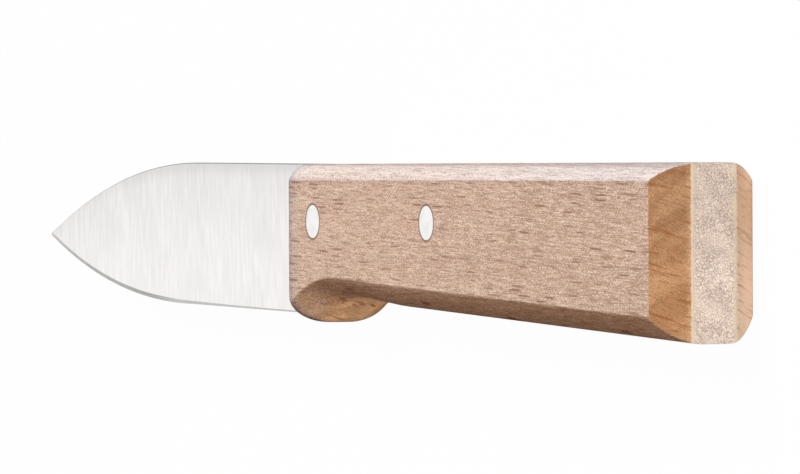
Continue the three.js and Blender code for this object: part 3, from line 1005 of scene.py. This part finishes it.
def side_wood(graph, handle, figure):
    """Wood cut along the grain: the side faces, the back and the underside."""
    along, back = figure.axes["X"], figure.back
    wood = graph.mix(figure.bands, handle.wood_pale, handle.wood_warm)
    wood = graph.brighten(wood, graph.ramp(along, *SIDE_TONE))
    # Painted sheen: faces that turn to the back are painted paler
    painted_back_sheen = graph.mix(graph.ramp(along, *BACK_SHEEN_ALONG), handle.back_sheen, handle.back_sheen_butt)
    wood = graph.mix(graph.times(back, BACK_SHEEN_STRENGTH), wood, painted_back_sheen)
    grain = graph.plus(graph.times(figure.streaks, STREAK_SHARE), graph.times(figure.pores, 1 - STREAK_SHARE))
    wood = graph.mix(graph.ramp(grain, *BROWN_PORES), wood, handle.pore_brown)
    wood = graph.mix(graph.ramp(grain, *CREAM_PORES), wood, handle.pore_cream)
    wood = graph.mix(graph.times(figure.fine, FINE_STRENGTH), wood, handle.fleck)
    wood = graph.mix(graph.times(figure.flecks, graph.between(back, 1.0, FLECKS_ON_BACK)), wood, handle.fleck)
    fibre_tone = graph.times(
        graph.ramp(figure.fibres, *FIBRE_TONE), graph.between(back, FIBRES_ON_SIDE, FIBRES_ON_BACK))
    return graph.brighten(wood, graph.plus(fibre_tone, 1.0))


def handled_wood(graph, handle, figure, wood):
    """The wood along the grain, with painted shade tinted onto its underside, guard, scoop, crease and front
    end.
    """
    axes, underside = figure.axes, figure.underside
    on_guard = graph.times(figure.guard, graph.ramp(axes["Y"], *GUARD_BELOW))
    in_scoop = graph.times(graph.ramp(axes["X"], *SCOOP_FRONT), graph.ramp(axes["X"], *SCOOP_REAR))
    crease = graph.times(graph.ramp(axes["Y"], *CREASE_SHADE_LINE), graph.minus(1.0, figure.back))
    for share, tint in [
            # Painted shade: faces that turn down are tinted darker, on the guard and under the grip
            (graph.times(underside, on_guard), handle.guard_underside_shade_tint),
            (graph.times(underside, graph.minus(1.0, on_guard)), handle.underside_shade_tint),
            # Painted shade in the finger scoop
            (graph.times(underside, in_scoop), handle.scoop_shade_tint),
            # Painted shade below the crease
            (crease, handle.crease_shade_tint),
            # Painted shade at the front end
            (graph.ramp(axes["X"], *FRONT_SHADE), handle.front_shade_tint),
            (graph.ramp(axes["X"], *FRONT_EDGE_SHADE), handle.front_edge_shade_tint)]:
        wood = graph.tint(share, wood, tint)
    return wood


def end_wood(graph, handle, figure):
    """Oiled end grain of the butt chamfers, and the guard's front."""
    across, low = figure.axes["Z"], figure.low
    slanting = graph.millimetres(SLANT_TURN)
    patches = graph.ramp(graph.noise(graph.stretch(slanting, PATCH_SCALE)), *PATCHES)
    # Painted light on the right side's end grain
    pale = graph.mix(low, handle.end_grain_lit, handle.end_grain_lit_low)
    pale = graph.brighten(pale, graph.ramp(across, *LIT_SIDE_TONE))
    wood = graph.mix(patches, handle.end_grain, handle.end_grain_dark)
    # Painted highlight: a pale line along the near chamfer's edge
    wood = graph.mix(graph.ramp(across, *NEAR_EDGE_HIGHLIGHT), wood, handle.end_grain_lit)
    wood = graph.mix(graph.ramp(across, *LIT_SIDE), wood, pale)
    wood = graph.brighten(wood, graph.between(low, *END_TONE))
    guard = graph.brighten(handle.guard_wood, graph.between(patches, *GUARD_TONE))
    wood = graph.mix(graph.ramp(figure.axes["X"], *BUTT_TO_GUARD), wood, guard)
    calm = graph.ramp(across, *CALM)
    curl = graph.noise(graph.stretch(figure.bent, CURL_SCALE), detail=3.0, roughness=0.7)
    cut_ends = graph.plus(graph.ramp(figure.pores, *CUT_PORES), graph.ramp(curl, *CURL))
    wood = graph.brighten(wood, graph.plus(graph.times(cut_ends, calm), 1.0))
    rays = graph.ramp(graph.noise(graph.stretch(figure.bent, RAY_SCALE)), *RAYS)
    marks = graph.math("MAXIMUM", graph.times(rays, RAY_STRENGTH), graph.times(figure.flecks, END_FLECKS))
    # Painted shade along the right side's edge
    rim = graph.ramp(across, *RIGHT_RIM_SHADE)
    return graph.mix(graph.math("MAXIMUM", graph.times(marks, calm), rim), wood, handle.fleck)


def paint_guard_shade_and_light(graph, handle, figure, wood):
    """The guard's rounded sides, painted greyer on the left as painted shade and paler on the right as
    painted light.
    """
    sides = graph.times(figure.underside, figure.guard)
    on_left = graph.times(sides, graph.ramp(figure.axes["Z"], *GUARD_LEFT))
    on_right = graph.times(sides, graph.ramp(figure.axes["Z"], *GUARD_RIGHT))
    wood = graph.tint(on_left, wood, handle.guard_left_shade_tint)
    return graph.brighten(wood, graph.between(on_right, 1.0, GUARD_RIGHT_LIGHT))


def bare_wood(graph, handle, figure):
    """Sanded end grain of the butt, left bare, with a warmer band along the chamfers."""
    mottle = graph.noise(graph.stretch(figure.place, MOTTLE_SCALE))
    pitted = graph.plus(figure.sparkle, graph.times(mottle, MOTTLE_SHARE))
    wood = graph.mix(graph.ramp(pitted, *OPEN_PORES), handle.sanded, handle.sanded_dark)
    wood = graph.mix(graph.ramp(figure.sparkle, *TORN_FIBRES), wood, handle.sanded_light)
    wood = graph.brighten(wood, graph.ramp(mottle, *MOTTLE_TONE))
    wood = graph.brighten(wood, graph.between(figure.low, *BARE_TONE))
    near_edge = graph.ramp(figure.from_middle, figure.flat_half - EDGE_BAND, figure.flat_half)
    return graph.mix(graph.times(near_edge, graph.ramp(mottle, *EDGE_MOTTLE)), wood, handle.sanded_edge)


def bare_mask(graph, handle, figure):
    """1 on the butt's end face."""
    at_end = graph.math("GREATER_THAN", figure.axes["X"], (handle.length - 2 * handle.butt_radius) / MM)
    return graph.times(
        graph.ramp(figure.from_middle, figure.flat_half + BARE_SOFTNESS, figure.flat_half), at_end)


def rivet_dark_ring(graph, rivets, figure):
    """Dark ring in the wood round each rivet."""
    hole = (rivets.diameter / 2 + rivets.gap) / MM
    outside, inside = (hole + reach for reach in DARK_RING)
    return graph.ramp(rivet_distance(graph, figure.straight), outside, inside, 0.0, DARK_RING_STRENGTH)


def beech_material(knife):
    """Oiled beech with bands, pores and ray flecks, orange on end grain and bare on the butt."""
    handle = knife.handle
    material, graph = new_material("oiled_beech")
    figure = beech_figure(graph, handle)
    butt = bare_mask(graph, handle, figure)
    side = handled_wood(graph, handle, figure, side_wood(graph, handle, figure))
    wood = graph.mix(graph.attribute("end_grain"), side, end_wood(graph, handle, figure))
    wood = paint_guard_shade_and_light(graph, handle, figure, wood)
    wood = graph.mix(butt, wood, bare_wood(graph, handle, figure))
    # A darker ring in the wood round each rivet
    wood = graph.mix(rivet_dark_ring(graph, knife.rivets, figure), wood, handle.fleck)
    # Painted shade inside the slot and the holes
    wood = graph.mix(graph.attribute("inside_cut"), wood, handle.shaded_cut_wood)
    oiled = graph.ramp(figure.pores, *WOOD_ROUGHNESS)
    hollows = graph.minus(figure.pores, graph.times(figure.flecks, FLECK_DEPTH))
    relief = graph.plus(hollows, graph.times(graph.times(figure.sparkle, butt), BARE_DEPTH))
    shader = principled(graph)
    graph.feed(shader["Base Color"], wood)
    graph.feed(shader["Coat Weight"], OIL_COAT)
    graph.feed(shader["Coat Roughness"], OIL_ROUGHNESS)
    graph.feed(shader["Roughness"], graph.plus(oiled, graph.times(butt, BARE_ROUGHNESS)))
    graph.feed(shader["Normal"], graph.bump(relief, WOOD_BUMP, WOOD_RELIEF))
    return material


# Steel
STEEL_LINES, STEEL_DRIFT = (1.4, 0.18, 0.2), (0.12, 0.1, 0.1)
STEEL_LINE_TONE, STEEL_DRIFT_TONE = (0.3, 0.7, -0.025, 0.025), (0.3, 0.7, -0.02, 0.02)
GREY_TOWARDS_TIP = (-95.0, -45.0, 0.55, 1.0)
HONED_FROM = (-64.0, -52.0)
STEEL_ROUGHNESS = (0.3, 0.7, 0.36, 0.26)
STEEL_BUMP, STEEL_RELIEF = 0.12, 0.01 * MM


def steel_material(blade):
    """Satin steel brushed across the blade, with a ground strip along the edge that is partly painted
    reflection, a duller back, and a painted reflection that greys the blade below its back.
    """
    material, graph = new_material("satin_steel")
    place = graph.millimetres()
    along = graph.axes(place)["X"]
    lines, drift = graph.brushing(place, STEEL_LINES, STEEL_DRIFT)
    varied = graph.plus(graph.plus(1.0, graph.ramp(lines, *STEEL_LINE_TONE)),
                        graph.ramp(drift, *STEEL_DRIFT_TONE))
    # Painted reflection: grey below the back
    reflection_share = graph.times(graph.attribute("back_reflection_band"), graph.ramp(along, *GREY_TOWARDS_TIP))
    tint = graph.mix(reflection_share, blade.steel, blade.steel_reflection_grey)
    # Ground strip, darker partly from its grind and partly as painted reflection
    ground = graph.mix(graph.ramp(along, *HONED_FROM), blade.ground_steel_and_reflection, blade.steel_honed)
    tint = graph.mix(graph.attribute("ground_edge"), tint, ground)
    tint = graph.mix(graph.attribute("blanked_back"), tint, blade.steel_back)
    shader = principled(graph)
    graph.feed(shader["Base Color"], graph.brighten(tint, varied))
    graph.feed(shader["Metallic"], 1.0)
    graph.feed(shader["Roughness"], graph.ramp(lines, *STEEL_ROUGHNESS))
    graph.feed(shader["Normal"], graph.bump(lines, STEEL_BUMP, STEEL_RELIEF))
    return material


# Aluminium
FACING_LINES, FACING_DRIFT = (1.2, 5.0, 1.0), (0.6, 0.6, 0.6)
CLOUDS = (0.4, 0.62)
NICK_CELL, NICK_SIZE, NICK_SHARE, NICK_DEPTH = (1.4, 0.35, 1.0), 0.3, 0.25, 0.08
RIM_WIDTH = 0.02
ALUMINIUM_ROUGHNESS = (0.3, 0.7, 0.34, 0.24)


def aluminium_material(rivets):
    """Faced aluminium with cloudy places, a few nicks and a darker rim."""
    material, graph = new_material("faced_aluminium")
    place = graph.millimetres()
    lines, drift = graph.brushing(place, FACING_LINES, FACING_DRIFT)
    nicks = graph.dashes(place, NICK_CELL, NICK_SIZE, NICK_SHARE)
    tint = graph.mix(graph.ramp(drift, *CLOUDS), rivets.aluminium, rivets.aluminium_dull)
    radius = (rivets.diameter / 2 + rivets.spread) / MM
    tint = graph.mix(graph.ramp(rivet_distance(graph, place), radius - RIM_WIDTH, radius), tint, rivets.rim)
    shader = principled(graph)
    worn = graph.minus(1.0, graph.times(nicks, NICK_DEPTH))
    graph.feed(shader["Base Color"], graph.brighten(tint, worn))
    graph.feed(shader["Metallic"], 1.0)
    graph.feed(shader["Roughness"], graph.ramp(lines, *ALUMINIUM_ROUGHNESS))
    return material


# Stage

WHITE = (1.0, 1.0, 1.0, 1.0)
FLOOR_DROP = 0.02 * MM  # keeps the floor off the handle's side face
FLOOR_SHADE_IN_GLOSS = (0.019, 0.026)  # across the floor in metres: painted shade in gloss, black below the first line and white past the second
FLOOR_WHITE_SHARE = 0.98  # the rest shows the knife's shadow
CARD_EDGE = (-0.55, -0.8)  # directions in gloss: a white card behind the tip
FLAG_EDGE, FLAG_SIDE = (-0.68, -0.82), (-0.1, -0.4)  # and a dark flag towards the cutting edge
FLAG_LEVEL = 0.05
KEY_PLACE, KEY_SIZE = (0.12, 0.52, 0.6), (0.6, 0.6)
FILL_PLACE, FILL_SIZE = (0.85, -0.42, 0.13), (0.45, 0.24)
CLIP_NEAR, CLIP_FAR = 0.01, 100


def seen(graph):
    """1 for rays that show the background to the camera, straight, in gloss or through glass."""
    path = graph.node("ShaderNodeLightPath").outputs
    straight = graph.math("MAXIMUM", path["Is Camera Ray"], path["Is Transmission Ray"])
    return graph.math("MAXIMUM", straight, path["Is Glossy Ray"])


def white_level(graph, level_in_gloss):
    """How white the background is seen: wholly when straight, and at the given level in gloss."""
    return graph.between(graph.node("ShaderNodeLightPath").outputs["Is Glossy Ray"], 1.0, level_in_gloss)


def floor_material(stage):
    """Pale floor that is seen as white, with a trace of the knife's shadow, and painted shade where it is
    seen in gloss.
    """
    material, graph = new_material("pale_floor")
    lit = graph.node("ShaderNodeBsdfDiffuse", {"Color": opaque(stage.floor)})
    across = graph.axes(graph.node("ShaderNodeTexCoord").outputs["Object"])["Y"]
    # Painted shade: in gloss the floor is black on the side of the knife's underside
    level = white_level(graph, graph.ramp(across, *FLOOR_SHADE_IN_GLOSS))
    white = graph.node("ShaderNodeEmission", {"Color": WHITE, "Strength": level})
    share = graph.times(seen(graph), FLOOR_WHITE_SHARE)
    mixed = graph.node("ShaderNodeMixShader", {0: share, 1: lit.outputs[0], 2: white.outputs[0]})
    graph.node("ShaderNodeOutputMaterial", {"Surface": mixed.outputs[0]})
    return material


def make_world(stage):
    """White where it is seen straight, a grey room with a card and a flag in gloss, and soft light around."""
    world = bpy.data.worlds.new("studio")
    world.use_nodes = True
    world.node_tree.nodes.clear()
    graph = Graph(world.node_tree)
    axes = graph.axes(graph.node("ShaderNodeTexCoord").outputs["Generated"])
    card = graph.ramp(axes["X"], *CARD_EDGE, stage.room, 1.0)
    flag = graph.times(graph.ramp(axes["X"], *FLAG_EDGE), graph.ramp(axes["Y"], *FLAG_SIDE))
    level = white_level(graph, graph.between(flag, card, FLAG_LEVEL))
    strength = graph.between(seen(graph), stage.surround, level)
    glow = graph.node("ShaderNodeBackground", {"Color": WHITE, "Strength": strength})
    graph.node("ShaderNodeOutputWorld", {"Surface": glow.outputs[0]})
    bpy.context.scene.world = world


def softbox(name, place, power, width, height):
    """A soft light, turned to the knife and itself unseen, also in gloss."""
    lamp = bpy.data.lights.new(name, "AREA")
    lamp.shape = "RECTANGLE"
    lamp.size, lamp.size_y = width, height
    lamp.energy = power
    box = bpy.data.objects.new(name, lamp)
    box.location = place
    box.rotation_euler = Vector(place).to_track_quat("Z", "Y").to_euler()
    box.visible_camera = False
    box.visible_glossy = False
    bpy.context.scene.collection.objects.link(box)


def make_floor(stage):
    """Square floor just below the knife."""
    shell = bmesh.new()
    bmesh.ops.create_grid(shell, size=stage.floor_size / 2)
    floor = new_piece("floor", mesh_from(shell, "floor"))
    floor.location.z = -FLOOR_DROP
    floor.data.materials.append(floor_material(stage))


def make_camera(stage):
    """Camera over the butt, looking along the knife, with the knife's back upwards in the picture."""
    towards = Vector((math.cos(stage.height), 0, math.sin(stage.height)))
    right = Vector((math.sin(stage.height), 0, -math.cos(stage.height)))
    back = Vector((0, 1, 0))
    up = back * math.cos(stage.side) - towards * math.sin(stage.side)
    towards = towards * math.cos(stage.side) + back * math.sin(stage.side)
    turned_right = right * math.cos(stage.roll) + up * math.sin(stage.roll)
    turned_up = up * math.cos(stage.roll) - right * math.sin(stage.roll)
    lens = bpy.data.cameras.new("camera")
    lens.lens = stage.focal_length
    lens.clip_start, lens.clip_end = CLIP_NEAR, CLIP_FAR
    camera = bpy.data.objects.new("camera", lens)
    camera.matrix_world = Matrix.Translation(DATUM + Vector(stage.aim) + towards * stage.distance) @ Matrix(
        (turned_right, turned_up, towards)).transposed().to_4x4()
    bpy.context.scene.collection.objects.link(camera)
    bpy.context.scene.camera = camera


# Operators

class BuildStage(bpy.types.Operator):
    """Make the floor, the light and the camera"""

    bl_idname = "paring_knife.build_stage"
    bl_label = "Stage"

    def execute(self, context):
        stage = context.scene.paring_knife.stage
        context.scene.view_settings.view_transform = "Standard"
        make_world(stage)
        softbox("key", KEY_PLACE, stage.key, *KEY_SIZE)
        softbox("fill", FILL_PLACE, stage.fill, *FILL_SIZE)
        make_camera(stage)
        make_floor(stage)
        return {"FINISHED"}


class MakeHandle(bpy.types.Operator):
    """Make the beech handle, slotted for the tang and bored for the rivets"""

    bl_idname = "paring_knife.make_handle"
    bl_label = "Handle"

    def execute(self, context):
        knife = context.scene.paring_knife
        piece = handle_block(knife.handle)
        reach = knife.handle.thickness
        cut(piece, [tang_slot(knife.blade, reach), *rivet_holes(knife.rivets, reach)])
        shade(piece)
        mark_grain(piece.data, knife)
        finish_piece(piece, beech_material(knife), ["handle"])
        return {"FINISHED"}


class MakeBlade(bpy.types.Operator):
    """Make the flat-ground blade with its tang"""

    bl_idname = "paring_knife.make_blade"
    bl_label = "Blade"

    def execute(self, context):
        knife = context.scene.paring_knife
        piece = blade_block(knife.blade)
        cut(piece, rivet_holes(knife.rivets, knife.handle.thickness))
        shade(piece, BEVEL_ANGLE)
        mark_finish(piece.data, knife.blade)
        finish_piece(piece, steel_material(knife.blade), ["blade"])
        return {"FINISHED"}


class MakeRivets(bpy.types.Operator):
    """Make the row of flush rivets"""

    bl_idname = "paring_knife.make_rivets"
    bl_label = "Rivets"

    def execute(self, context):
        rivets = context.scene.paring_knife.rivets
        material = aluminium_material(rivets)
        tree = rivet_row_tree()
        piece = new_piece("rivets", bpy.data.meshes.new("rivets"))
        row = piece.modifiers.new("row", "NODES")
        row.node_group = tree
        values = {
            "Diameter": rivets.diameter, "Length": rivets.length, "Spread": rivets.spread,
            "Spread Depth": rivets.spread_depth, "Chamfer": rivets.chamfer, "Count": rivets.count,
            "First": RIVET_CENTRES[0], "Pitch": (rivets.pitch, 0.0, 0.0), "Material": material,
        }
        for item in tree.interface.items_tree:
            if item.in_out == "INPUT":
                row[item.identifier] = values[item.name]
        bake_modifiers(piece)
        shade(piece)
        finish_piece(piece, material, ["front_rivet", "rear_rivet"])
        return {"FINISHED"}


class KnifePanel(bpy.types.Panel):
    """Lists the knife's operators and settings"""

    bl_idname = "VIEW3D_PT_paring_knife"
    bl_label = "Paring Knife"
    bl_space_type = "VIEW_3D"
    bl_region_type = "UI"
    bl_category = "Knife"

    def draw(self, context):
        for operator in OPERATORS:
            self.layout.operator(operator.bl_idname)
        for part in ("handle", "blade", "rivets", "stage"):
            settings = getattr(context.scene.paring_knife, part)
            box = self.layout.box()
            box.label(text=part.capitalize())
            for name in settings.__annotations__:
                box.prop(settings, name)


OPERATORS = (BuildStage, MakeHandle, MakeBlade, MakeRivets)
CLASSES = (HandleSettings, BladeSettings, RivetSettings, StageSettings, KnifeSettings, *OPERATORS, KnifePanel)


def register():
    for kind in CLASSES:
        bpy.utils.register_class(kind)
    bpy.types.Scene.paring_knife = PointerProperty(type=KnifeSettings)


def unregister():
    del bpy.types.Scene.paring_knife
    for kind in reversed(CLASSES):
        bpy.utils.unregister_class(kind)


def main():
    register()
    bpy.ops.paring_knife.build_stage()
    bpy.ops.paring_knife.make_handle()
    bpy.ops.paring_knife.make_blade()
    bpy.ops.paring_knife.make_rivets()


if __name__ == "__main__":
    main()
